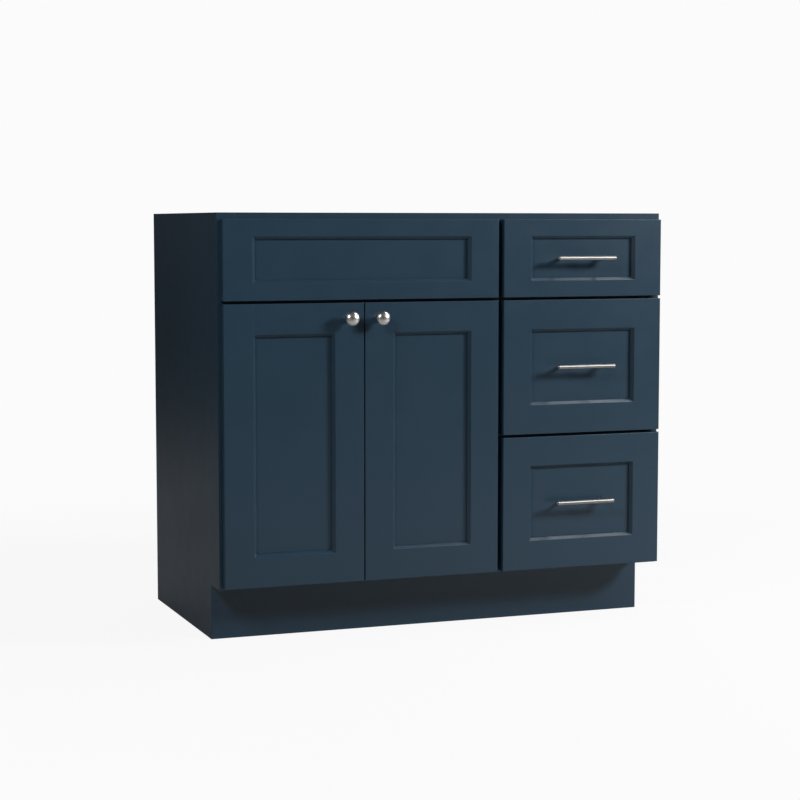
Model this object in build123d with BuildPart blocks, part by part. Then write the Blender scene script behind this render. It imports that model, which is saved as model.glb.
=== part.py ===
"""A framed bathroom vanity cabinet: a sink bay behind two doors, and a bank of three drawers beside it.

Millimetres. X runs to the right, Y to the back and Z up. The origin is on the floor, at the middle of the
footprint, which runs from the foremost point of the drawer pulls to the back edges of the side panels.
"""

import os
from math import sqrt

from build123d import *

os.makedirs("parts", exist_ok=True)

# ---------------------------------------------------------------- driving dimensions

width = 990.6
height = 876.3
depth = 533.4  # face frame included, fronts and pulls not
sink_bay_width = 609.6  # the drawer bay has the rest
pull_reach = 46.0  # from the face frame's front to the foremost point of the pulls

board = 16.0  # side panels, partition, floor and base rails
groove = 6.0  # depth of the dados and grooves in those boards
scribe = 14.5  # how far the right stile overhangs the right side panel

kick_height = 113.0
kick_recess = 66.0
kick_skin = 6.0

frame_thickness = 19.05
frame_width = 38.1  # of a stile or rail, and half of the center stile
tenon = 10.0
tenon_thickness = 8.0

reveal = 6.0  # frame left showing beside each column of fronts
top_reveal = 13.3
bottom_reveal = 4.5
row_gap = 6.0
door_gap = 2.4
top_row_height = 163.5

front_thickness = 19.05
front_gap = 3.0  # between the frame and the backs of the fronts
member_width = 68.0  # stiles and rails of the doors and the lower drawer fronts
short_rail = 40.5  # rails of the top row
bevel = 6.0  # along the inner edges of the front members
panel_thickness = 6.35
panel_depth = 9.0  # from a front's face to its panel's face
panel_groove = 9.5
panel_play = 0.5  # left at the bottom of each groove
edge_round = 1.2

back_thickness = 6.0
nailer_thickness = 12.7
nailer_height = 90.0
cutout_width = 400.0
cutout_height = 420.0
cutout_bottom = 250.0
cutout_corner = 12.0

hinge_offset = 90.0  # of each hinge from its door's end
pin_inset = 7.5  # of the hinge pin from the door's outer edge
pin_depth = 10.5  # of the hinge pin from the door's back
pin_radius = 1.25
knuckle_radius = 2.2
running_clearance = 0.05
cup_radius = 17.5
cup_tab = 3.0  # door edge to cup bore
cup_wall = 1.0
cup_floor_play = 0.3  # under the knuckle
flange_metal = 1.2
flange_width = 29.0
flange_height = 58.0
lug_gap = 1.5
lug_height = 5.0
pin_length = 20.0
strap_width = 8.0
strap_thickness = 1.6
arm_plate_height = 44.0
arm_plate_depth = 17.0
arm_plate_setback = 1.0

box_side = 12.7
box_length = 457.0
box_heights = (90.0, 203.0, 203.0)
box_lift = 13.0  # of a drawer box above the rail below it
box_bottom_thickness = 6.35
box_bottom_lift = 12.0

slide_width = 12.7
slide_height = 45.0
slide_metal = 1.2
slide_length = 450.0
slide_middle_length = 400.0
slide_lift = 45.0  # of a slide's middle above its box's lower edge
slide_setback = 2.0  # behind the frame's front, and again for the middle members
slide_lip = 3.0
spacer_height = 60.0

knob_radius = 15.0
knob_reach = 31.0
knob_inset = 32.0  # from a door's free edge, and from its upper edge
pull_length = 132.0
pull_radius = 5.0
pull_centers = 96.0
post_radius = 4.0
pull_end_chamfer = 0.5
screw_radius = 2.0
screw_head_radius = 4.0
screw_head = 2.4
screw_bite = 10.0  # how far a screw reaches into a knob or a pull post
screw_hole_play = 0.5  # at the bottom of that hole

brace_leg = 60.0
brace_thickness = 14.0
brace_hole = 2.5
brace_hole_inset = 20.0

clip_metal = 2.0
clip_height = 60.0
clip_leg = 24.0

bumper_radius = 4.0
bumper_height = 2.4
bumper_inset = 10.0

# ---------------------------------------------------------------- places worked out from them

left, right = -width / 2, width / 2
frame_front = pull_reach - (depth + pull_reach) / 2
frame_back = frame_front + frame_thickness
back = frame_front + depth
bay_line = left + sink_bay_width

right_outer = right - scribe
inner_left, inner_right = left + board, right_outer - board
partition_left, partition_right = bay_line - board / 2, bay_line + board / 2

floor_top = kick_height + frame_width
floor_bottom = floor_top - board
back_front = back - nailer_thickness - back_thickness
kick_face = frame_front + kick_recess
kick_back = kick_face + kick_skin

front_face = frame_front - front_gap - front_thickness
front_back = frame_front - front_gap
panel_face = front_face + panel_depth
panel_back = panel_face + panel_thickness
pull_axis = frame_front - pull_reach + pull_radius

column_left = (left + reveal, bay_line - reveal)
column_right = (bay_line + reveal, right - reveal)
top_row = (height - top_reveal - top_row_height, height - top_reveal)
door_row = (kick_height + bottom_reveal, top_row[0] - row_gap)
drawer_height = (door_row[1] - door_row[0] - row_gap) / 2
middle_row = (door_row[1] - drawer_height, door_row[1])
bottom_row = (door_row[0], door_row[0] + drawer_height)
door_split = sum(column_left) / 2

upper_rail_middle = top_row[0] - row_gap / 2
lower_rail_middle = middle_row[0] - row_gap / 2
sink_opening = (left + frame_width, bay_line - frame_width)
drawer_opening = (bay_line + frame_width, right - frame_width)


def block(x, y, z, mode=Mode.ADD):
    """A square block in the part that is open, between two faces along each axis."""
    with Locations((x[0], y[0], z[0])):
        Box(x[1] - x[0], y[1] - y[0], z[1] - z[0], align=(Align.MIN, Align.MIN, Align.MIN), mode=mode)


def save(name, *parts):
    """Write one node, as one solid or as a group of separate ones."""
    node = parts[0] if len(parts) == 1 else Compound(children=list(parts))
    node.label = name
    export_step(node, f"parts/{name}.step")


def about(middle, size):
    """The two faces of something centred on a place."""
    return middle - size / 2, middle + size / 2


# ---------------------------------------------------------------- carcass


def side_panel(outer, inner, tongue):
    """A side panel with its toe notch, its front tongue and its grooves for the floor and the back."""
    x = (min(outer, inner), max(outer, inner))
    inward = 1 if inner > outer else -1
    cut = (min(inner, inner - inward * groove), max(inner, inner - inward * groove))
    with BuildPart() as panel:
        block(x, (frame_back, back), (0, height))
        block(tongue, (frame_back - groove, frame_back), (kick_height, height))
        block(x, (frame_back, kick_back), (0, kick_height), Mode.SUBTRACT)
        block(cut, (frame_back, back_front), (floor_bottom, floor_top), Mode.SUBTRACT)
        block(cut, (back_front, back_front + back_thickness), (kick_height, height), Mode.SUBTRACT)
    return panel.part


left_tongue = (inner_left - board / 2, inner_left)
right_tongue = about((inner_right + right_outer) / 2, board / 2)
partition_tongue = about(bay_line, board / 2)

save("left_side_panel", side_panel(left, inner_left, left_tongue))
save("right_side_panel", side_panel(right_outer, inner_right, right_tongue))

with BuildPart() as center_partition:
    block((partition_left, partition_right), (frame_back, back_front), (floor_top - groove, height))
    block(partition_tongue, (frame_back - groove, frame_back), (floor_top, height - frame_width))
save("center_partition", center_partition.part)

with BuildPart() as cabinet_floor:
    floor_y = (frame_back, back_front)
    block((inner_left - groove, inner_right + groove), floor_y, (floor_bottom, floor_top))
    block((partition_left, partition_right), floor_y, (floor_top - groove, floor_top), Mode.SUBTRACT)
save("cabinet_floor", cabinet_floor.part)

sink_bay_middle = (inner_left + partition_left) / 2
with BuildPart() as back_panel:
    block(
        (inner_left - groove, inner_right + groove),
        (back_front, back_front + back_thickness),
        (kick_height, height),
    )
    with BuildSketch(Plane.XZ.offset(-back_front - back_thickness)):
        with Locations((sink_bay_middle, cutout_bottom + cutout_height / 2)):
            RectangleRounded(cutout_width, cutout_height, cutout_corner)
    extrude(amount=back_thickness, mode=Mode.SUBTRACT)
save("back_panel", back_panel.part)

nailers = []
for nailer_bottom in (floor_bottom, height - nailer_height):
    with BuildPart() as nailer:
        block(
            (inner_left, inner_right),
            (back - nailer_thickness, back),
            (nailer_bottom, nailer_bottom + nailer_height),
        )
    nailers.append(nailer.part)
save("back_rails", *nailers)

with BuildPart() as toe_kick_board:
    block((inner_left, inner_right), (kick_back, kick_back + board), (0, floor_bottom))
save("toe_kick_board", toe_kick_board.part)

with BuildPart() as toe_kick_skin:
    block((left, right_outer), (kick_face, kick_back), (0, kick_height))
save("toe_kick_skin", toe_kick_skin.part)

with BuildPart() as rear_base_rail:
    block((inner_left, inner_right), (back_front - board, back_front), (0, floor_bottom))
save("rear_base_rail", rear_base_rail.part)

braces = []
for corner_x, toward_x in ((inner_left, 1), (inner_right, -1)):
    for corner_y, toward_y in ((frame_back, 1), (back_front, -1)):
        with BuildPart() as brace:
            with BuildSketch(Plane.XY.offset(height - brace_thickness)):
                with BuildLine():
                    Polyline(
                        (corner_x, corner_y),
                        (corner_x + toward_x * brace_leg, corner_y),
                        (corner_x, corner_y + toward_y * brace_leg),
                        close=True,
                    )
                make_face()
                hole_x = corner_x + toward_x * brace_hole_inset
                hole_y = corner_y + toward_y * brace_hole_inset
                with Locations((hole_x, hole_y)):
                    Circle(brace_hole, mode=Mode.SUBTRACT)
            extrude(amount=brace_thickness)
        braces.append(brace.part)
save("corner_braces", *braces)

# ---------------------------------------------------------------- face frame

tenon_y = about((frame_front + frame_back) / 2, tenon_thickness)
frame_y = (frame_front, frame_back)
tongue_y = (frame_back - groove, frame_back)
rail_rows = {
    "top": (height - frame_width, height),
    "bottom": (kick_height, floor_top),
    "upper": about(upper_rail_middle, frame_width),
    "lower": about(lower_rail_middle, frame_width),
}
tenon_shoulder = 6.0
tenon_rows = {row: (z[0] + tenon_shoulder, z[1] - tenon_shoulder) for row, z in rail_rows.items()}


def outer_stile(x, inner, toward, tongue, rows):
    """A full-height stile, mortised for the rails and grooved for the side panel's tongue."""
    mortise = (min(inner, inner + toward * tenon), max(inner, inner + toward * tenon))
    with BuildPart() as stile:
        block(x, frame_y, (kick_height, height))
        block(tongue, tongue_y, (kick_height, height), Mode.SUBTRACT)
        for row in rows:
            block(mortise, tenon_y, tenon_rows[row], Mode.SUBTRACT)
    return stile.part


def frame_rail(x, row, stile_mortise=False):
    """A rail with a tenon at each end, and where it is crossed, a mortise for the center stile."""
    with BuildPart() as rail:
        block(x, frame_y, rail_rows[row])
        block((x[0] - tenon, x[1] + tenon), tenon_y, tenon_rows[row])
        if stile_mortise:
            block(center_tenon, tenon_y, center_reach, Mode.SUBTRACT)
    return rail.part


center_stile = (sink_opening[1], drawer_opening[0])
center_tenon = (center_stile[0] + tenon, center_stile[1] - tenon)
center_rise = (rail_rows["bottom"][1], rail_rows["top"][0])
center_reach = (center_rise[0] - tenon, center_rise[1] + tenon)
wide_opening = (sink_opening[0], drawer_opening[1])

save(
    "frame_left_stile",
    outer_stile((left, sink_opening[0]), sink_opening[0], -1, left_tongue, ("top", "bottom", "upper")),
)
save(
    "frame_right_stile",
    outer_stile((drawer_opening[1], right), drawer_opening[1], 1, right_tongue, rail_rows),
)
with BuildPart() as frame_center_stile:
    block(center_stile, frame_y, center_rise)
    block(center_tenon, tenon_y, center_reach)
    block(partition_tongue, tongue_y, center_rise, Mode.SUBTRACT)
    block((center_stile[0], center_stile[0] + tenon), tenon_y, tenon_rows["upper"], Mode.SUBTRACT)
    for row in ("upper", "lower"):
        block((center_stile[1] - tenon, center_stile[1]), tenon_y, tenon_rows[row], Mode.SUBTRACT)
save("frame_center_stile", frame_center_stile.part)

save("frame_top_rail", frame_rail(wide_opening, "top", stile_mortise=True))
save("frame_bottom_rail", frame_rail(wide_opening, "bottom", stile_mortise=True))
save(
    "frame_middle_rails",
    frame_rail(sink_opening, "upper"),
    frame_rail(drawer_opening, "upper"),
    frame_rail(drawer_opening, "lower"),
)

# ---------------------------------------------------------------- doors, drawer fronts and the false front


def member_outline(edge, inward, size):
    """Section of a front's stile or rail, as (place across, place in Y) pairs from its outer edge."""
    groove_back = panel_depth + panel_thickness
    outline = (
        (0, 0),
        (size - bevel, 0),
        (size, bevel),
        (size, panel_depth),
        (size - panel_groove, panel_depth),
        (size - panel_groove, groove_back),
        (size, groove_back),
        (size, front_thickness),
        (0, front_thickness),
    )
    return [(edge + inward * across, front_face + deep) for across, deep in outline]


def front_stile(edge, inward, z):
    """A stile, bevelled and grooved along its inner edge and rounded along its outer front edges."""
    with BuildPart() as stile:
        with BuildSketch(Plane.XY.offset(z[0])):
            with BuildLine():
                Polyline(*member_outline(edge, inward, member_width), close=True)
            make_face()
        extrude(amount=z[1] - z[0])
        face_edges = stile.edges().group_by(Axis.Y)[0]
        ends = face_edges.filter_by(Axis.X)
        uprights = face_edges.filter_by(Axis.Z).sort_by(Axis.X)
        fillet(ends + [uprights[0 if inward > 0 else -1]], edge_round)
    return stile.part


def front_rail(x, edge, inward, size, z):
    """A rail shaped as the stiles are, its ends coped over their bevels and tongued into their grooves."""
    inner = (x[0] + member_width, x[1] - member_width)
    with BuildPart() as rail:
        with BuildSketch(Plane.YZ.offset(inner[0] - panel_groove)):
            with BuildLine():
                outline = member_outline(edge, inward, size)
                Polyline(*[(deep, across) for across, deep in outline], close=True)
            make_face()
        extrude(amount=inner[1] - inner[0] + 2 * panel_groove)
        long_edges = rail.edges().group_by(Axis.Y)[0].filter_by(Axis.X).sort_by(Axis.Z)
        fillet(long_edges[0 if inward > 0 else -1], edge_round)
        for stile_edge, stile_inward in ((x[0], 1), (x[1], -1)):
            with BuildSketch(Plane.XY.offset(z[0])):
                with BuildLine():
                    Polyline(*member_outline(stile_edge, stile_inward, member_width), close=True)
                make_face()
            extrude(amount=z[1] - z[0], mode=Mode.SUBTRACT)
    return rail.part


def front_frame(x, z, rail_size):
    """The two stiles and two rails of a front."""
    return [
        front_stile(x[0], 1, z),
        front_stile(x[1], -1, z),
        front_rail(x, z[0], 1, rail_size, z),
        front_rail(x, z[1], -1, rail_size, z),
    ]


def front_panel(x, z, rail_size, holes=()):
    """The flat panel held in the grooves, drilled for pull screws."""
    reach = panel_groove - panel_play
    with BuildPart() as panel:
        block(
            (x[0] + member_width - reach, x[1] - member_width + reach),
            (panel_face, panel_back),
            (z[0] + rail_size - reach, z[1] - rail_size + reach),
        )
        for hole in holes:
            drill(hole[0], hole[1], (panel_face, panel_back), screw_radius)
    return panel.part


def drill(x, z, y, radius):
    """Cut a round hole along Y in the part that is open."""
    with Locations(Location((x, y[0], z), (-90, 0, 0))):
        Cylinder(radius, y[1] - y[0], align=(Align.CENTER, Align.CENTER, Align.MIN), mode=Mode.SUBTRACT)


def rod(x, z, y, radius):
    """A round bar along Y, added to the part that is open."""
    with Locations(Location((x, y[0], z), (-90, 0, 0))):
        Cylinder(radius, y[1] - y[0], align=(Align.CENTER, Align.CENTER, Align.MIN))


save("false_front_frame", *front_frame(column_left, top_row, short_rail))
save("false_front_panel", front_panel(column_left, top_row, short_rail))

clip_z = about(sum(top_row) / 2, clip_height)
clips = []
for edge, inward in ((sink_opening[0], 1), (sink_opening[1], -1)):
    with BuildPart() as clip:
        with BuildSketch(Plane.XY.offset(clip_z[0])):
            with BuildLine():
                Polyline(
                    (edge, front_back),
                    (edge + inward * clip_leg, front_back),
                    (edge + inward * clip_leg, front_back + clip_metal),
                    (edge + inward * clip_metal, front_back + clip_metal),
                    (edge + inward * clip_metal, frame_back - clip_metal),
                    (edge, frame_back - clip_metal),
                    close=True,
                )
            make_face()
        extrude(amount=clip_height)
    clips.append(clip.part)
save("false_front_clips", *clips)

# ---------------------------------------------------------------- doors and their hinges

pin_y = front_back - pin_depth
hinge_rows = (door_row[0] + hinge_offset, door_row[1] - hinge_offset)
cup_floor_depth = pin_depth + knuckle_radius + cup_floor_play
cup_depth = cup_floor_depth + cup_wall
knob_z = door_row[1] - knob_inset


def bored_stile(stile, cup_x):
    """A door's hinge stile with its two cup bores."""
    with BuildPart() as bored:
        add(stile)
        for z in hinge_rows:
            drill(cup_x, z, (front_back - cup_depth, front_back), cup_radius)
    return bored.part


def drilled_stile(stile, knob_x):
    """A door's free stile with its knob screw hole."""
    with BuildPart() as drilled:
        add(stile)
        drill(knob_x, knob_z, (front_face, front_back), screw_radius)
    return drilled.part


def hinge_cup(edge, inward, z):
    """A pressed cup with its flange on the door's back, and two lugs that carry the pin."""
    middle = edge + inward * (cup_tab + cup_radius)
    pin_x = edge + inward * pin_inset
    flange = (edge + inward * cup_tab, edge + inward * (cup_tab + flange_width))
    lug_inner = strap_width / 2 + lug_gap
    with BuildPart() as cup:
        rod(middle, z, (front_back - cup_depth, front_back), cup_radius)
        block(
            (min(flange), max(flange)),
            (front_back, front_back + flange_metal),
            about(z, flange_height),
        )
        drill(middle, z, (front_back - cup_floor_depth, front_back + flange_metal), cup_radius - cup_wall)
        with BuildSketch(Plane.XZ.offset(-(front_back - cup_floor_depth))):
            with Locations((middle, z)):
                Circle(cup_radius - cup_wall / 2)
            with Locations((pin_x, z)):
                Rectangle(lug_height, 4 * cup_radius, mode=Mode.INTERSECT)
                Rectangle(lug_height, 2 * lug_inner, mode=Mode.SUBTRACT)
        extrude(amount=-(knuckle_radius + cup_floor_play + lug_height / 2))
        with Locations((pin_x, pin_y, z)):
            Cylinder(pin_radius, pin_length, mode=Mode.SUBTRACT)
    return cup.part


def hinge_pin(edge, inward, z):
    """A hinge pin, held in its cup's lugs."""
    with BuildPart() as pin:
        with Locations((edge + inward * pin_inset, pin_y, z)):
            Cylinder(pin_radius, pin_length)
    return pin.part


def hinge_arm(edge, inward, z):
    """An arm from the knuckle on the pin, across the cup, to a plate on the frame's inner edge."""
    pin_x = edge + inward * pin_inset
    plate_x = edge - inward * reveal + inward * frame_width
    far_x = plate_x + inward * strap_thickness
    strap_low = pin_y - knuckle_radius
    plate_front = frame_front + arm_plate_setback
    with BuildPart() as arm:
        with Locations((pin_x, pin_y, z)):
            Cylinder(knuckle_radius, strap_width)
        block(
            (min(pin_x, far_x), max(pin_x, far_x)),
            (strap_low, strap_low + strap_thickness),
            about(z, strap_width),
        )
        block(
            (min(plate_x, far_x), max(plate_x, far_x)),
            (strap_low, plate_front),
            about(z, strap_width),
        )
        block(
            (min(plate_x, far_x), max(plate_x, far_x)),
            (plate_front, frame_front + arm_plate_depth),
            about(z, arm_plate_height),
        )
        with Locations((pin_x, pin_y, z)):
            Cylinder(pin_radius + running_clearance, strap_width, mode=Mode.SUBTRACT)
    return arm.part


def door_knob(x):
    """A turned knob: a foot, a waist and a head with an elliptical dome and a narrow rim."""
    foot_radius, foot = 8.0, 2.0
    waist_radius, waist = 6.0, 15.0
    neck_radius = 7.5
    dome_rise, rim = 10.0, 2.0
    nose = front_face - knob_reach
    rim_front = nose + dome_rise
    with BuildPart() as knob:
        with BuildSketch(Plane.XY.offset(knob_z)):
            with BuildLine():
                Polyline(
                    (x, nose),
                    (x, front_face),
                    (x + foot_radius, front_face),
                    (x + foot_radius, front_face - foot),
                )
                ThreePointArc(
                    (x + foot_radius, front_face - foot),
                    (x + waist_radius, front_face - (foot + waist) / 2),
                    (x + neck_radius, front_face - waist),
                )
                Polyline(
                    (x + neck_radius, front_face - waist),
                    (x + knob_radius - rim / 2, rim_front + rim),
                    (x + knob_radius, rim_front + rim / 2),
                    (x + knob_radius, rim_front),
                )
                EllipticalCenterArc((x, rim_front), knob_radius, dome_rise, start_angle=-90, arc_size=90)
            make_face()
        revolve(axis=Axis((x, 0, knob_z), (0, 1, 0)))
        drill(x, knob_z, (front_face - screw_bite - screw_hole_play, front_face), screw_radius)
    return knob.part


def screw(x, z, head_y, tip_y):
    """A pan-head screw along Y, with its head at the back."""
    with BuildPart() as shank:
        rod(x, z, (tip_y, head_y), screw_radius)
        rod(x, z, (head_y, head_y + screw_head), screw_head_radius)
    return shank.part


arms = []
doors = (
    ("left_door", column_left[0], 1, (column_left[0], door_split - door_gap / 2)),
    ("right_door", column_left[1], -1, (door_split + door_gap / 2, column_left[1])),
)
for name, edge, inward, x in doors:
    frame = front_frame(x, door_row, member_width)
    hinge_stile, free_stile = (0, 1) if inward > 0 else (1, 0)
    knob_x = x[free_stile] - inward * knob_inset
    frame[hinge_stile] = bored_stile(frame[hinge_stile], edge + inward * (cup_tab + cup_radius))
    frame[free_stile] = drilled_stile(frame[free_stile], knob_x)
    save(f"{name}_frame", *frame)
    save(f"{name}_panel", front_panel(x, door_row, member_width))
    save(f"{name}_knob", door_knob(knob_x))
    save(f"{name}_knob_screw", screw(knob_x, knob_z, front_back, front_face - screw_bite))
    save(f"{name}_hinge_cups", *[hinge_cup(edge, inward, z) for z in hinge_rows])
    save(f"{name}_hinge_pins", *[hinge_pin(edge, inward, z) for z in hinge_rows])
    arms += [hinge_arm(edge, inward, z) for z in hinge_rows]

    bumpers = []
    bumper_x = x[free_stile] - inward * bumper_inset
    for z in (door_row[0] + bumper_inset, door_row[1] - bumper_inset):
        with BuildPart() as bumper:
            rod(bumper_x, z, (front_back, front_back + bumper_height), bumper_radius)
        bumpers.append(bumper.part)
    save(f"{name}_bumpers", *bumpers)
save("hinge_arms", *arms)

# ---------------------------------------------------------------- drawers and their slides

box_x = (drawer_opening[0] + slide_width, drawer_opening[1] - slide_width)
box_y = (front_back, front_back + box_length)
slide_front = frame_front + slide_setback


def drawer_box(z, pull_z):
    """Two sides, rabbeted at both ends, and a front and a back, all grooved for the bottom."""
    rabbet = box_side / 2
    bottom_z = (z[0] + box_bottom_lift, z[0] + box_bottom_lift + box_bottom_thickness)
    bottom_groove = ((box_x[0] + rabbet, box_x[1] - rabbet), (box_y[0] + rabbet, box_y[1] - rabbet))
    walls = []
    for x in ((box_x[0], box_x[0] + box_side), (box_x[1] - box_side, box_x[1])):
        with BuildPart() as side:
            block(x, box_y, z)
            for y in ((box_y[0], box_y[0] + box_side), (box_y[1] - box_side, box_y[1])):
                block((box_x[0] + rabbet, box_x[1] - rabbet), y, z, Mode.SUBTRACT)
            block(*bottom_groove, bottom_z, Mode.SUBTRACT)
        walls.append(side.part)
    for y in ((box_y[0], box_y[0] + box_side), (box_y[1] - box_side, box_y[1])):
        with BuildPart() as end:
            block((box_x[0] + rabbet, box_x[1] - rabbet), y, z)
            block(*bottom_groove, bottom_z, Mode.SUBTRACT)
            if y[0] == box_y[0]:
                for x in pull_posts:
                    drill(x, pull_z, y, screw_radius)
        walls.append(end.part)
    with BuildPart() as bottom:
        block(*bottom_groove, bottom_z)
    return walls, bottom.part


def slide_member(face, toward, z_middle, y, outline):
    """A rolled slide member, its section given from the face it is fixed to and from its middle height."""
    with BuildPart() as member:
        with BuildSketch(Plane.XZ.offset(-y[1])):
            with BuildLine():
                Polyline(*[(face + toward * across, z_middle + up) for across, up in outline], close=True)
            make_face()
        extrude(amount=y[1] - y[0])
    return member.part


def channel(start, end, half_height, lip=0.0):
    """Section of a channel with its web at start and its flanges' ends at end, with lips if asked."""
    metal = slide_metal if end > start else -slide_metal
    under = half_height - slide_metal
    upper = [(start, half_height), (end, half_height)]
    if lip:
        upper += [(end, half_height - lip), (end - metal, half_height - lip), (end - metal, under)]
    else:
        upper += [(end, under)]
    upper += [(start + metal, under)]
    return upper + [(across, -up) for across, up in reversed(upper)]


cabinet_channel = channel(0, 8.5, slide_height / 2, slide_lip)
middle_channel = channel(2.0, 9.3, slide_height / 2 - 5.0)
drawer_channel = channel(slide_width, 4.0, slide_height / 2 - 10.0)

pull_middle = sum(column_right) / 2
pull_posts = about(pull_middle, pull_centers)


def drawer_pull(z):
    """A straight round bar on two posts."""
    with BuildPart() as bar:
        with BuildSketch(Plane.YZ.offset(pull_middle - pull_length / 2)):
            with Locations((pull_axis, z)):
                Circle(pull_radius)
        extrude(amount=pull_length)
        chamfer(bar.edges().filter_by(GeomType.CIRCLE), pull_end_chamfer)
    pieces = [bar.part]
    for x in pull_posts:
        with BuildPart() as post:
            rod(x, z, (pull_axis, panel_face), post_radius)
            with BuildSketch(Plane.YZ.offset(x - post_radius)):
                with Locations((pull_axis, z)):
                    Circle(pull_radius)
            extrude(amount=2 * post_radius, mode=Mode.SUBTRACT)
            drill(x, z, (panel_face - screw_bite - screw_hole_play, panel_face), screw_radius)
        pieces.append(post.part)
    return pieces


drawers = (
    ("top_drawer", top_row, short_rail, box_heights[0], rail_rows["upper"][1]),
    ("middle_drawer", middle_row, member_width, box_heights[1], rail_rows["lower"][1]),
    ("bottom_drawer", bottom_row, member_width, box_heights[2], floor_top),
)
cabinet_members = []
spacers = []
for name, row, rail_size, box_height, rest in drawers:
    pull_z = sum(row) / 2
    box_z = (rest + box_lift, rest + box_lift + box_height)
    slide_z = box_z[0] + slide_lift
    walls, bottom = drawer_box(box_z, pull_z)
    save(f"{name}_front_frame", *front_frame(column_right, row, rail_size))
    save(f"{name}_front_panel", front_panel(column_right, row, rail_size, [(x, pull_z) for x in pull_posts]))
    save(f"{name}_box_walls", *walls)
    save(f"{name}_box_bottom", bottom)
    save(f"{name}_pull", *drawer_pull(pull_z))
    save(
        f"{name}_pull_screws",
        *[screw(x, pull_z, box_y[0] + box_side, panel_face - screw_bite) for x in pull_posts],
    )

    sides = ((drawer_opening[0], 1), (drawer_opening[1], -1))
    full = (slide_front, slide_front + slide_length)
    middle_front = slide_front + slide_setback
    short = (middle_front, middle_front + slide_middle_length)
    cabinet_members += [slide_member(face, toward, slide_z, full, cabinet_channel) for face, toward in sides]
    save(
        f"{name}_slide_middle_members",
        *[slide_member(face, toward, slide_z, short, middle_channel) for face, toward in sides],
    )
    save(
        f"{name}_slide_inner_members",
        *[slide_member(face, toward, slide_z, full, drawer_channel) for face, toward in sides],
    )
    for x in ((partition_right, drawer_opening[0]), (drawer_opening[1], inner_right)):
        with BuildPart() as spacer:
            block(x, (frame_back, slide_front + slide_length), about(slide_z, spacer_height))
        spacers.append(spacer.part)
save("slide_cabinet_members", *cabinet_members)
save("slide_spacers", *spacers)

hinge_arc = sqrt(pin_inset**2 + pin_depth**2) - pin_depth
print("A door's corner swings", round(hinge_arc, 2), "mm past its back, and the gap there is", front_gap)
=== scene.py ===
"""Bathroom vanity cabinet: its finishes, fine hardware, studio and camera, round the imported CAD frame.

Metres, in the CAD's frame: X to the right, Y to the back, Z up from the floor.
"""

import math

import bmesh
import bpy
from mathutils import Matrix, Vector


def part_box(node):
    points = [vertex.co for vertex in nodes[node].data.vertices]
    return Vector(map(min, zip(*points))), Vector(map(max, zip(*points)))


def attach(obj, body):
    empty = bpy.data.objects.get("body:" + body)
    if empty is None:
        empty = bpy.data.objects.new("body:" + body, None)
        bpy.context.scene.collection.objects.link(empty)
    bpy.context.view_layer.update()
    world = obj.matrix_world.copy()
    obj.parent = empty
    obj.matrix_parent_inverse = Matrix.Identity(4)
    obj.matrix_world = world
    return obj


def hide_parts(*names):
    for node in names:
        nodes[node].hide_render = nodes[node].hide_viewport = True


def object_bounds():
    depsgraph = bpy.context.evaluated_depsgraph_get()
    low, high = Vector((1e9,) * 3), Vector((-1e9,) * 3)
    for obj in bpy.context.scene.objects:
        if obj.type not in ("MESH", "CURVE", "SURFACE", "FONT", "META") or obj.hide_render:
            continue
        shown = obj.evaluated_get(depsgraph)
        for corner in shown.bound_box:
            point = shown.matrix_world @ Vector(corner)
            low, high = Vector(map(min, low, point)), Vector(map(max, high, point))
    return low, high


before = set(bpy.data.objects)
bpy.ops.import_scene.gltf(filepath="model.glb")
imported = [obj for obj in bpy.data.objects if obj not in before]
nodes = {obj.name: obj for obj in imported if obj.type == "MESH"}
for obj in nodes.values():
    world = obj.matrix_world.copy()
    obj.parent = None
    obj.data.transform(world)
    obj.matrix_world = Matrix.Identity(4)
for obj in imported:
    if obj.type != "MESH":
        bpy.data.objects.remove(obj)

cad_low, cad_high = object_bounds()
doors = ("left_door", "right_door")
drawers = ("top_drawer", "middle_drawer", "bottom_drawer")
MM = 0.001
X, Y, Z = 0, 1, 2

# ---------------------------------------------------------------- camera

camera_yaw = math.radians(20.608)  # turned from straight ahead towards the right
camera_pitch = math.radians(5.098)  # tipped down
camera_distance = 4.3262
camera_lens = 88.13
aim_offset = Vector((-0.0155, -0.0030, 0.0281))  # from the middle of the object's box


def make_camera():
    """The camera, to the left of the object and a little below its top."""
    data = bpy.data.cameras.new("camera")
    data.lens = camera_lens
    data.sensor_width = 36.0
    camera = bpy.data.objects.new("camera", data)
    bpy.context.scene.collection.objects.link(camera)
    level = math.cos(camera_pitch)
    gaze = Vector((math.sin(camera_yaw) * level, math.cos(camera_yaw) * level, -math.sin(camera_pitch)))
    aim = (cad_low + cad_high) / 2 + aim_offset
    camera.location = aim - gaze * camera_distance
    camera.rotation_euler = gaze.to_track_quat("-Z", "Y").to_euler()
    bpy.context.scene.camera = camera


# ---------------------------------------------------------------- studio

backdrop_white = (0.965, 0.965, 0.965, 1)
room_grey = (0.05, 0.05, 0.052, 1)
floor_size = 60.0
shadow_reach = (0.9, 2.4)  # where the shadow on the floor begins and ends its fade into the backdrop
shadow_share = 0.06
floor_pale = ((0.86, 0.86, 0.86), (0.90, 0.90, 0.90))
floor_bounce = (0.38, 0.38, 0.38)  # what the floor throws back at the object


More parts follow.
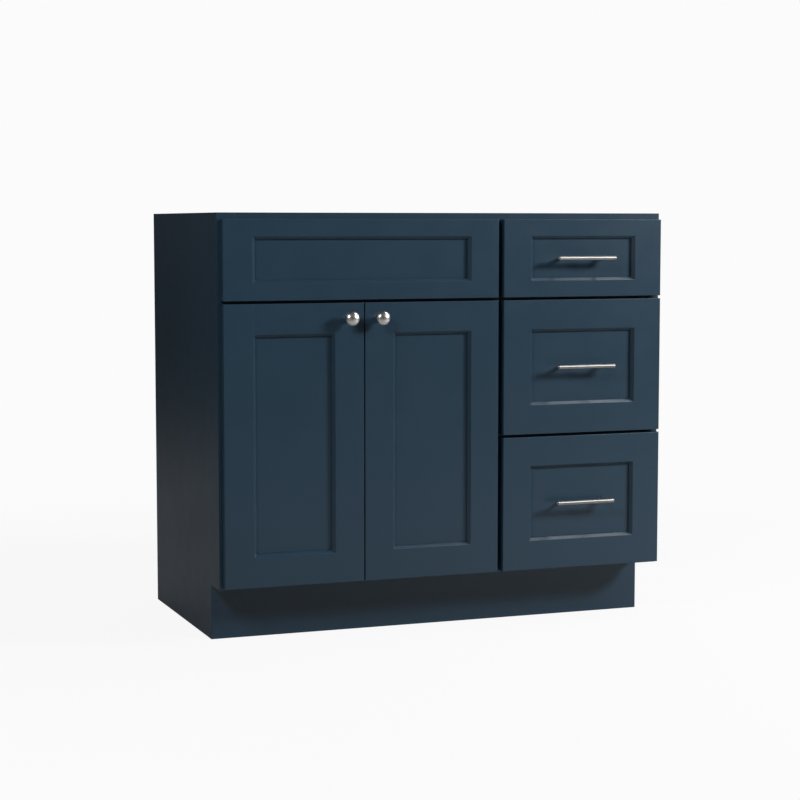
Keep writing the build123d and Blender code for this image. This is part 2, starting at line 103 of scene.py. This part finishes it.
def softbox(name, azimuth, elevation, distance, size, power, target):
    """A rectangular light that faces a target. Azimuth 0 is in front of the object and 90 is on its right."""
    data = bpy.data.lights.new(name, "AREA")
    data.shape = "RECTANGLE"
    data.size, data.size_y = size
    data.energy = power
    light = bpy.data.objects.new(name, data)
    bpy.context.scene.collection.objects.link(light)
    turn, rise = math.radians(azimuth), math.radians(elevation)
    away = Vector((math.sin(turn) * math.cos(rise), -math.cos(turn) * math.cos(rise), math.sin(rise)))
    light.location = Vector(target) + away * distance
    light.rotation_euler = (-away).to_track_quat("-Z", "Y").to_euler()


def make_world():
    """A dim room round the object, with a white backdrop where the camera looks past it."""
    world = bpy.data.worlds.new("studio")
    world.use_nodes = True
    bpy.context.scene.world = world
    tree = world.node_tree
    seen = tree.nodes.new("ShaderNodeLightPath")
    choice = tree.nodes.new("ShaderNodeMix")
    choice.data_type = "RGBA"
    choice.inputs[6].default_value = room_grey
    choice.inputs[7].default_value = backdrop_white
    tree.links.new(seen.outputs["Is Camera Ray"], choice.inputs[0])
    tree.links.new(choice.outputs[2], tree.nodes["Background"].inputs["Color"])


def make_floor():
    """A pale matte floor that carries a faint shadow and fades into the backdrop."""
    mesh = bpy.data.meshes.new("floor")
    half = floor_size / 2
    corners = [(-half, -half, 0), (half, -half, 0), (half, half, 0), (-half, half, 0)]
    mesh.from_pydata(corners, [], [(0, 1, 2, 3)])
    floor = bpy.data.objects.new("floor", mesh)
    bpy.context.scene.collection.objects.link(floor)
    graph = Graph("pale_floor")
    grain = graph.noise(40.0, detail=3)
    seen = graph.add("ShaderNodeLightPath").outputs["Is Camera Ray"]
    pale = graph.ramp(grain, (0.3, floor_pale[0]), (0.7, floor_pale[1]))
    graph.shade(
        graph.tint(seen, (*floor_bounce, 1), pale),
        graph.remap(grain, 0.3, 0.7, 0.7, 0.9),
        grain,
        0.05,
    )
    glow = graph.add("ShaderNodeEmission", {"Color": backdrop_white})
    away = graph.vector("LENGTH", graph.place)
    shadow = graph.remap(away, *shadow_reach, shadow_share, 0.0)
    lit = graph.maths("ADD", shadow, graph.maths("SUBTRACT", 1.0, seen))
    mixed = graph.add("ShaderNodeMixShader", {0: lit, 1: glow.outputs[0], 2: graph.shader.outputs[0]})
    graph.tree.links.new(mixed.outputs[0], graph.tree.nodes["Material Output"].inputs["Surface"])
    mesh.materials.append(graph.material)


def make_lights():
    """A key on the right, a weaker light on the left, one high on the right and one behind.

    Each has its azimuth, elevation, distance, size, power in watts, and the point that it faces.
    """
    softbox("key_right", 57, 24, 3.5, (0.75, 0.6), 136.0, (0.0, -0.25, 0.45))
    softbox("fill_left", -52, 31, 2.9, (0.6, 0.6), 34.0, (0.0, -0.25, 0.5))
    softbox("high_right", 88, 58, 2.5, (0.9, 0.9), 19.0, (0.3, -0.25, 0.45))
    softbox("behind", 165, 35, 3.2, (2.0, 1.4), 22.0, (0.0, 0.2, 0.5))


# ---------------------------------------------------------------- material kit


class Graph:
    """One material's node tree, with short ways to add and wire its nodes."""

    def __init__(self, name):
        self.material = bpy.data.materials.new(name)
        self.material.use_nodes = True
        self.tree = self.material.node_tree
        self.shader = self.tree.nodes["Principled BSDF"]
        source = self.add("ShaderNodeTexCoord")
        self.place = source.outputs["Object"]
        self.facing = source.outputs["Normal"]

    def add(self, kind, inputs=None, **settings):
        node = self.tree.nodes.new(kind)
        for key, value in settings.items():
            setattr(node, key, value)
        for key, value in (inputs or {}).items():
            self.feed(node.inputs[key], value)
        return node

    def feed(self, socket, value):
        if isinstance(value, bpy.types.NodeSocket):
            self.tree.links.new(value, socket)
        elif socket.type == "RGBA" and len(value) == 3:
            socket.default_value = (*value, 1)
        else:
            socket.default_value = value

    def maths(self, operation, first, second=0.0):
        return self.add("ShaderNodeMath", {0: first, 1: second}, operation=operation).outputs[0]

    def vector(self, operation, first, second=None, wanted="Value"):
        inputs = {0: first} if second is None else {0: first, 1: second}
        return self.add("ShaderNodeVectorMath", inputs, operation=operation).outputs[wanted]

    def remap(self, value, low, high, to_low, to_high):
        inputs = {"Value": value, "From Min": low, "From Max": high, "To Min": to_low, "To Max": to_high}
        return self.add("ShaderNodeMapRange", inputs, interpolation_type="SMOOTHSTEP").outputs["Result"]

    def ramp(self, factor, *stops):
        node = self.add("ShaderNodeValToRGB", {"Fac": factor})
        line = node.color_ramp.elements
        while len(line) < len(stops):
            line.new(0.5)
        for element, (position, colour) in zip(line, stops):
            element.position = position
            element.color = (*colour, 1)
        return node.outputs["Color"]

    def noise(self, scale, detail=2.0, stretch=(1, 1, 1), roughness=0.5, distortion=0.0):
        """Soft noise. The scale is in cycles a metre, and stretch multiplies it along each axis."""
        scaled = self.add("ShaderNodeMapping", {"Vector": self.place, "Scale": stretch}).outputs[0]
        inputs = {
            "Vector": scaled,
            "Scale": scale,
            "Detail": detail,
            "Roughness": roughness,
            "Distortion": distortion,
        }
        return self.add("ShaderNodeTexNoise", inputs).outputs["Fac"]

    def mix(self, factor, first, second):
        """A blend of two numbers."""
        return self.add("ShaderNodeMix", {0: factor, 2: first, 3: second}).outputs[0]

    def tint(self, factor, first, second):
        """A blend of two colours."""
        node = self.add("ShaderNodeMix", data_type="RGBA")
        for key, value in ((0, factor), (6, first), (7, second)):
            self.feed(node.inputs[key], value)
        return node.outputs[2]

    def axis(self, vector, which):
        return self.add("ShaderNodeSeparateXYZ", {0: vector}).outputs[which]

    def edges(self, radius):
        """A mask that is 1 on the mesh's sharp edges and 0 on its flats, and the rounded normal there."""
        rounded = self.add("ShaderNodeBevel", {"Radius": radius}, samples=4).outputs[0]
        flat = self.add("ShaderNodeNewGeometry").outputs["Normal"]
        alike = self.vector("DOT_PRODUCT", rounded, flat)
        return self.remap(alike, 0.80, 0.99, 1.0, 0.0), rounded

    def shade(self, colour, roughness, height, bump, depth=0.2 * MM, normal=None, **constants):
        """Wire the shader. What is the same all over goes straight onto its own socket."""
        inputs = {"Height": height, "Strength": bump, "Distance": depth}
        if normal is not None:
            inputs["Normal"] = normal
        bumped = self.add("ShaderNodeBump", inputs).outputs[0]
        for key, value in (("Base Color", colour), ("Roughness", roughness), ("Normal", bumped)):
            self.feed(self.shader.inputs[key], value)
        for key, value in constants.items():
            self.shader.inputs[key.replace("_", " ")].default_value = value
        return self.material


# ---------------------------------------------------------------- finishes

navy_deep = (0.0124, 0.0336, 0.0565)
navy_light = (0.0134, 0.0356, 0.0593)
# Lighter navy for the sharp edges: a painted highlight.
navy_highlight_tone = (0.036, 0.060, 0.085)


def navy(graph):
    """Sprayed satin paint: colour, roughness and height, with orange peel, and a painted highlight that
    lightens its sharp edges in patches and makes them smoother.
    """
    drift = graph.noise(2.2, detail=3)
    patches = graph.noise(17.0, detail=4)
    peel = graph.noise(420.0, detail=2)
    highlight_edges_mask, rounded = graph.edges(0.9 * MM)
    # Painted highlight: the edge mask, in patches, lightens the colour and lowers the roughness.
    edge_highlight = graph.maths("MULTIPLY", highlight_edges_mask, graph.remap(patches, 0.35, 0.65, 0.15, 0.6))
    colour = graph.tint(edge_highlight, graph.ramp(drift, (0.3, navy_deep), (0.7, navy_light)), navy_highlight_tone)
    roughness = graph.mix(edge_highlight, graph.remap(patches, 0.3, 0.7, 0.295, 0.325), 0.25)
    return colour, roughness, peel, rounded


def navy_paint():
    graph = Graph("navy_paint")
    colour, roughness, peel, rounded = navy(graph)
    return graph.shade(colour, roughness, peel, 0.12, depth=0.05 * MM, normal=rounded, Specular_IOR_Level=0.5)


birch_pale = (0.70, 0.56, 0.39)
birch_deep = (0.63, 0.485, 0.32)
birch_streak = (0.50, 0.355, 0.215)
ply_glue = (0.22, 0.14, 0.08)
ply_crossing = (0.46, 0.33, 0.20)
ply_thickness = 1.35 * MM


def birch(graph, grain, across=None, depth=1.0):
    """Clear-coated birch: colour, roughness and height. Grain is its long axis, and across is the plies'."""
    along = [1.0, 1.0, 1.0]
    along[grain] = 0.035
    figure = graph.noise(55.0, detail=5, stretch=along, roughness=0.55, distortion=0.4)
    fibre = graph.noise(520.0, detail=3, stretch=along, roughness=0.6)
    broad = graph.noise(7.0, detail=2, stretch=along)
    pale = [value * depth for value in birch_pale]
    deep = [value * depth for value in birch_deep]
    colour = graph.ramp(figure, (0.34, birch_streak), (0.44, deep), (0.62, pale))
    colour = graph.tint(graph.remap(broad, 0.35, 0.65, 0.0, 0.45), colour, deep)
    colour = graph.tint(graph.remap(fibre, 0.30, 0.45, 0.35, 0.0), colour, birch_streak)
    roughness = graph.remap(figure, 0.3, 0.7, 0.5, 0.36)
    height = graph.maths("ADD", fibre, figure)
    if across is None:
        return colour, roughness, height
    edge = graph.maths("LESS_THAN", graph.maths("ABSOLUTE", graph.axis(graph.facing, across)), 0.5)
    level = graph.maths("DIVIDE", graph.axis(graph.place, across), 2 * ply_thickness)
    wave = graph.maths("ABSOLUTE", graph.maths("SUBTRACT", graph.maths("FRACT", level), 0.5))
    plies = graph.ramp(wave, (0.20, pale), (0.235, ply_glue), (0.27, ply_crossing))
    plies = graph.tint(graph.remap(fibre, 0.3, 0.7, 0.3, 0.0), plies, birch_streak)
    return graph.tint(edge, colour, plies), graph.mix(edge, roughness, 0.65), height


def plywood(name, grain, across, depth=1.0):
    graph = Graph(name)
    colour, roughness, height = birch(graph, grain, across, depth)
    return graph.shade(colour, roughness, height, 0.25, depth=0.08 * MM, Specular_IOR_Level=0.45)


def solid_birch(name, grain):
    graph = Graph(name)
    colour, roughness, height = birch(graph, grain)
    return graph.shade(colour, roughness, height, 0.25, depth=0.08 * MM, Specular_IOR_Level=0.45)


def drawer_wood():
    """Drawer walls: the grain lies level on all four of them."""
    graph = Graph("drawer_wood")
    colour, roughness, height = birch(graph, X)
    turned = graph.maths("GREATER_THAN", graph.maths("ABSOLUTE", graph.axis(graph.facing, X)), 0.5)
    side_colour, side_roughness, side_height = birch(graph, Y)
    return graph.shade(
        graph.tint(turned, colour, side_colour),
        graph.mix(turned, roughness, side_roughness),
        graph.mix(turned, height, side_height),
        0.25,
        depth=0.08 * MM,
        Specular_IOR_Level=0.45,
    )


def painted_panel(name, outer_x):
    """A plywood side panel that is painted on its outer face only."""
    graph = Graph(name)
    colour, roughness, peel, rounded = navy(graph)
    wood_colour, wood_roughness, wood_height = birch(graph, Z, X)
    apart = graph.maths("ABSOLUTE", graph.maths("SUBTRACT", graph.axis(graph.place, X), outer_x))
    paint_skin = 0.7 * MM
    wood = graph.maths("GREATER_THAN", apart, paint_skin)
    return graph.shade(
        graph.tint(wood, colour, wood_colour),
        graph.mix(wood, roughness, wood_roughness),
        graph.mix(wood, peel, wood_height),
        graph.mix(wood, 0.12, 0.25),
        depth=0.06 * MM,
        normal=rounded,
        Specular_IOR_Level=0.5,
    )


def brushed_metal(name, colour, low, high, stretch):
    """Metal with fine brush lines round the X axis, which draw its highlights out along that axis."""
    graph = Graph(name)
    lines = graph.noise(2600.0, detail=4, stretch=stretch, roughness=0.7)
    cloud = graph.noise(90.0, detail=3)
    darker = [value * 0.86 for value in colour]
    highlight_edges_mask, rounded = graph.edges(0.4 * MM)
    tone = graph.ramp(lines, (0.3, darker), (0.7, colour))
    # Painted highlight: the sharp edges are lightened.
    tone = graph.tint(graph.maths("MULTIPLY", highlight_edges_mask, 0.35), tone, [min(1.0, value * 1.2) for value in colour])
    brushed = graph.remap(lines, 0.3, 0.7, low, high)
    roughness = graph.maths("ADD", brushed, graph.remap(cloud, 0.3, 0.7, -0.02, 0.03))
    around = graph.add("ShaderNodeTangent", direction_type="RADIAL", axis="X").outputs[0]
    graph.feed(graph.shader.inputs["Tangent"], around)
    drawn_out = {"Metallic": 1.0, "Anisotropic": 0.9, "Anisotropic_Rotation": 0.25}
    return graph.shade(tone, roughness, lines, 0.25, depth=0.02 * MM, normal=rounded, **drawn_out)


def turned_metal(name, colour, low, high):
    """Metal brushed on a lathe, its lines in rings round the piece's own Y axis."""
    graph = Graph(name)
    across = graph.vector("MULTIPLY", graph.place, (1, 0, 1), "Vector")
    radius = graph.vector("LENGTH", across)
    spread = graph.add("ShaderNodeCombineXYZ", {0: radius, 1: graph.axis(graph.place, Y)}).outputs[0]
    inputs = {"Vector": spread, "Scale": 3200.0, "Detail": 3.0, "Roughness": 0.7}
    rings = graph.add("ShaderNodeTexNoise", inputs).outputs["Fac"]
    cloud = graph.noise(120.0, detail=3)
    darker = [value * 0.88 for value in colour]
    tone = graph.ramp(rings, (0.3, darker), (0.7, colour))
    brushed = graph.remap(rings, 0.3, 0.7, low, high)
    roughness = graph.maths("ADD", brushed, graph.remap(cloud, 0.3, 0.7, -0.02, 0.04))
    return graph.shade(tone, roughness, rings, 0.2, depth=0.02 * MM, Metallic=1.0)


def zinc_plate():
    """Zinc-plated sheet steel, with faint crystal patches."""
    graph = Graph("zinc_plate")
    crystals = graph.add("ShaderNodeTexVoronoi", {"Vector": graph.place, "Scale": 260.0}).outputs["Color"]
    patch = graph.axis(crystals, X)
    smear = graph.noise(40.0, detail=4)
    highlight_edges_mask, rounded = graph.edges(0.3 * MM)
    tone = graph.ramp(patch, (0.0, (0.46, 0.47, 0.49)), (1.0, (0.62, 0.63, 0.65)))
    # Painted highlight: the sharp edges are lightened.
    tone = graph.tint(graph.maths("MULTIPLY", highlight_edges_mask, 0.4), tone, (0.75, 0.75, 0.76))
    plated = graph.remap(patch, 0.0, 1.0, 0.28, 0.42)
    roughness = graph.maths("ADD", plated, graph.remap(smear, 0.3, 0.7, 0.0, 0.08))
    return graph.shade(tone, roughness, smear, 0.1, normal=rounded, Metallic=1.0)


def screw_steel():
    graph = Graph("screw_steel")
    smear = graph.noise(300.0, detail=4)
    tone = graph.ramp(smear, (0.3, (0.36, 0.36, 0.37)), (0.7, (0.56, 0.56, 0.57)))
    return graph.shade(tone, graph.remap(smear, 0.3, 0.7, 0.24, 0.42), smear, 0.15, Metallic=1.0)


def brace_plastic():
    """Moulded plastic with a fine spark texture."""
    graph = Graph("brace_plastic")
    spark = graph.noise(1500.0, detail=3)
    flow = graph.noise(25.0, detail=3)
    highlight_edges_mask, rounded = graph.edges(1.0 * MM)
    tone = graph.ramp(flow, (0.3, (0.66, 0.63, 0.57)), (0.7, (0.74, 0.71, 0.65)))
    # Painted highlight: the sharp edges are lightened.
    tone = graph.tint(graph.maths("MULTIPLY", highlight_edges_mask, 0.3), tone, (0.85, 0.83, 0.78))
    return graph.shade(tone, graph.remap(flow, 0.3, 0.7, 0.5, 0.62), spark, 0.3, 0.04 * MM, normal=rounded)


def bumper_rubber():
    """Clear soft bumpers, a little cloudy."""
    graph = Graph("bumper_rubber")
    cloud = graph.noise(400.0, detail=3)
    tone = graph.ramp(cloud, (0.3, (0.58, 0.58, 0.56)), (0.7, (0.72, 0.72, 0.70)))
    return graph.shade(
        tone, graph.remap(cloud, 0.3, 0.7, 0.2, 0.35), cloud, 0.1, Transmission_Weight=0.5, IOR=1.45
    )


nickel = (0.74, 0.725, 0.70)
# Painted shade: the knobs' nickel darkened for the bars, to dim their bright reflections.
bar_nickel_shaded = (0.50, 0.49, 0.475)


def dress(material, *names):
    """Give CAD nodes a material."""
    for name in names:
        for slot in nodes[name].material_slots:
            slot.material = material


def make_finishes(steel):
    """Every CAD node's material."""
    left_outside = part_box("left_side_panel")[0].x
    right_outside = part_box("right_side_panel")[1].x
    paint = navy_paint()
    dress(paint, "toe_kick_skin", "frame_left_stile", "frame_center_stile", "frame_right_stile")
    dress(paint, "frame_top_rail", "frame_bottom_rail", "frame_middle_rails")
    dress(paint, "false_front_frame", "false_front_panel")
    for door in doors:
        dress(paint, f"{door}_frame", f"{door}_panel")
    for drawer in drawers:
        dress(paint, f"{drawer}_front_frame", f"{drawer}_front_panel")
    dress(painted_panel("left_panel_finish", left_outside), "left_side_panel")
    dress(painted_panel("right_panel_finish", right_outside), "right_side_panel")
    dress(plywood("upright_ply", Z, X), "center_partition")
    dress(plywood("level_ply", X, Z), "cabinet_floor")
    dress(plywood("back_ply", Z, Y), "back_panel")
    dress(plywood("rail_ply", X, Y), "back_rails")
    dress(plywood("base_ply", X, Y, depth=0.85), "toe_kick_board", "rear_base_rail")
    dress(plywood("drawer_bottom_ply", X, Z), *[f"{drawer}_box_bottom" for drawer in drawers])
    dress(drawer_wood(), *[f"{drawer}_box_walls" for drawer in drawers])
    dress(solid_birch("spacer_wood", Y), "slide_spacers")
    zinc = zinc_plate()
    dress(zinc, "hinge_arms", "slide_cabinet_members", "false_front_clips")
    for door in doors:
        dress(zinc, f"{door}_hinge_cups")
    for drawer in drawers:
        dress(zinc, f"{drawer}_slide_inner_members", f"{drawer}_slide_middle_members")
    bumper = bumper_rubber()
    for door in doors:
        dress(steel, f"{door}_knob_screw", f"{door}_hinge_pins")
        dress(bumper, f"{door}_bumpers")
    dress(steel, *[f"{drawer}_pull_screws" for drawer in drawers])
    dress(brace_plastic(), "corner_braces")


# ---------------------------------------------------------------- turned pieces


def arc(middle, radius, start, end, steps):
    """Points round an arc, as (along, out) pairs. Angles are in degrees from the turning axis."""
    points = []
    for step in range(steps + 1):
        angle = math.radians(start + (end - start) * step / steps)
        points.append((middle[0] + radius * math.cos(angle), middle[1] + radius * math.sin(angle)))
    return points


def turn(bm, profile, origin, direction, steps):
    """Turn (along, out) pairs round an axis. A pair with no radius closes the shape to a point."""
    direction = Vector(direction)
    first = direction.orthogonal().normalized()
    second = direction.cross(first)
    rings = []
    for along, out in profile:
        middle = Vector(origin) + direction * along
        if out == 0:
            rings.append([bm.verts.new(middle)])
            continue
        ring = []
        for step in range(steps):
            angle = 2 * math.pi * step / steps
            ring.append(bm.verts.new(middle + out * (first * math.cos(angle) + second * math.sin(angle))))
        rings.append(ring)
    for low, high in zip(rings, rings[1:]):
        for step in range(steps):
            after = (step + 1) % steps
            if len(low) == 1:
                bm.faces.new((low[0], high[step], high[after]))
            elif len(high) == 1:
                bm.faces.new((low[step], high[0], low[after]))
            else:
                bm.faces.new((low[step], high[step], high[after], low[after]))


def piece(name, bm, body, material, location=(0, 0, 0), replaces=()):
    """Finish a mesh as a named piece that rides on a body."""
    bmesh.ops.recalc_face_normals(bm, faces=bm.faces)
    mesh = bpy.data.meshes.new(name)
    bm.to_mesh(mesh)
    bm.free()
    mesh.shade_smooth()
    mesh.set_sharp_from_angle(angle=math.radians(35))
    mesh.materials.append(material)
    made = bpy.data.objects.new(name, mesh)
    made.location = location
    bpy.context.scene.collection.objects.link(made)
    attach(made, body)
    if replaces:
        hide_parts(*replaces)


def make_knob(door, material):
    """A turned knob with an elliptical dome, a rounded rim and a waisted stem."""
    low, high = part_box(f"{door}_knob")
    radius = (high.x - low.x) / 2
    reach = high.y - low.y
    dome_rise, rim, foot, waist = 10.0 * MM, 2.0 * MM, 2.0 * MM, 15.0 * MM
    foot_radius, waist_radius, neck_radius = 8.0 * MM, 6.0 * MM, 7.5 * MM
    foot_edge = 0.2 * MM
    dome_steps, stem_steps = 32, 24
    profile = [(0.0, 0.0)]
    for step in range(1, dome_steps + 1):
        angle = math.pi / 2 * step / dome_steps
        profile.append((dome_rise * (1 - math.cos(angle)), radius * math.sin(angle)))
    profile += arc((dome_rise, radius - rim), rim, 80, 0, 9)
    stem_low, stem_high = reach - waist, reach - foot
    waisting = waist_radius - (neck_radius + foot_radius) / 2
    for step in range(stem_steps + 1):
        share = step / stem_steps
        along = stem_low + (stem_high - stem_low) * share
        straight = neck_radius + (foot_radius - neck_radius) * share
        profile.append((along, straight + waisting * math.sin(math.pi * share)))
    profile += [(reach - foot_edge, foot_radius), (reach, foot_radius - foot_edge), (reach, 0.0)]
    bm = bmesh.new()
    turn(bm, profile, (0, 0, 0), (0, 1, 0), 96)
    origin = Vector(((low.x + high.x) / 2, low.y, (low.z + high.z) / 2))
    piece(f"{door}_turned_knob", bm, door, material, origin, [f"{door}_knob"])


def make_pull(drawer, material):
    """A straight round bar with softened ends, on two posts that are let into it."""
    low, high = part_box(f"{drawer}_pull")
    radius = (high.z - low.z) / 2
    axis_y, axis_z = low.y + radius, (low.z + high.z) / 2
    length = high.x - low.x
    soft = 0.6 * MM
    bar = [(0.0, 0.0)] + arc((soft, radius - soft), soft, 180, 90, 6)
    bar += [(length - along, out) for along, out in reversed(bar)]
    post_radius, post_centers = 4.0 * MM, 96.0 * MM
    let_in, foot_edge = radius * 0.3, 0.3 * MM
    stem = high.y - axis_y
    post = [(let_in, 0.0), (let_in, post_radius), (stem - foot_edge, post_radius)]
    post += [(stem, post_radius - foot_edge), (stem, 0.0)]
    bm = bmesh.new()
    turn(bm, bar, (-length / 2, 0, 0), (1, 0, 0), 96)
    for side in (-1, 1):
        turn(bm, post, (side * post_centers / 2, 0, 0), (0, 1, 0), 64)
    origin = Vector(((low.x + high.x) / 2, axis_y, axis_z))
    piece(f"{drawer}_bar_pull", bm, drawer, material, origin, [f"{drawer}_pull"])


def make_screw_heads(name, body, places, material):
    """Low pan heads with a socket in each. A place is a point on a surface and the way it faces."""
    radius, rise, edge = 3.4 * MM, 0.9 * MM, 0.25 * MM
    socket_radius, socket_depth = 1.1 * MM, 0.6 * MM
    profile = [(0.0, 0.0), (0.0, radius), (edge, radius), (rise * 0.75, radius * 0.82)]
    profile += [(rise, radius * 0.5), (rise, socket_radius), (rise - socket_depth, socket_radius * 0.7)]
    profile.append((rise - socket_depth, 0.0))
    bm = bmesh.new()
    for point, facing in places:
        turn(bm, profile, point, facing, 32)
    piece(name, bm, body, material)


def above_and_below(z, apart):
    """Two heights, one each side of another."""
    return z - apart, z + apart


def fix_hinges(material):
    """The screws of the hinges' plates and cups, and of the false front's clips."""
    flange_reach, cup_screw, plate_screw, clip_screw = 29 * MM, 24 * MM, 14 * MM, 18 * MM
    plate_metal, clip_metal, screw_setback = 1.6 * MM, 2.0 * MM, 9.0 * MM
    screw_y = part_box("frame_left_stile")[0].y + screw_setback
    stile_edges = ((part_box("frame_left_stile")[1].x, 1), (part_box("frame_center_stile")[0].x, -1))
    plate_places = []
    clip_places = []
    clips_low, clips_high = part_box("false_front_clips")
    for door, (stile_edge, inward) in zip(doors, stile_edges):
        low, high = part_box(f"{door}_hinge_cups")
        cup_x = (low.x + high.x) / 2
        facing = (inward, 0, 0)
        cup_places = []
        for row in (low.z + flange_reach, high.z - flange_reach):
            for z in above_and_below(row, cup_screw):
                cup_places.append(((cup_x, high.y, z), (0, 1, 0)))
            for z in above_and_below(row, plate_screw):
                plate_places.append(((stile_edge + inward * plate_metal, screw_y, z), facing))
        for z in above_and_below((clips_low.z + clips_high.z) / 2, clip_screw):
            clip_places.append(((stile_edge + inward * clip_metal, screw_y, z), facing))
        make_screw_heads(f"{door}_cup_screws", door, cup_places, material)
    make_screw_heads("hinge_plate_screws", "cabinet", plate_places, material)
    make_screw_heads("clip_screws", "cabinet", clip_places, material)


# ---------------------------------------------------------------- the whole scene

bpy.context.scene.view_settings.view_transform = "Standard"
make_camera()
make_world()
make_floor()
make_lights()
steel = screw_steel()
make_finishes(steel)
fix_hinges(steel)
knob_metal = turned_metal("turned_nickel", nickel, 0.24, 0.34)
for door in doors:
    make_knob(door, knob_metal)
bar_metal = brushed_metal("brushed_nickel", bar_nickel_shaded, 0.50, 0.60, (1, 0.05, 0.05))
for drawer in drawers:
    make_pull(drawer, bar_metal)
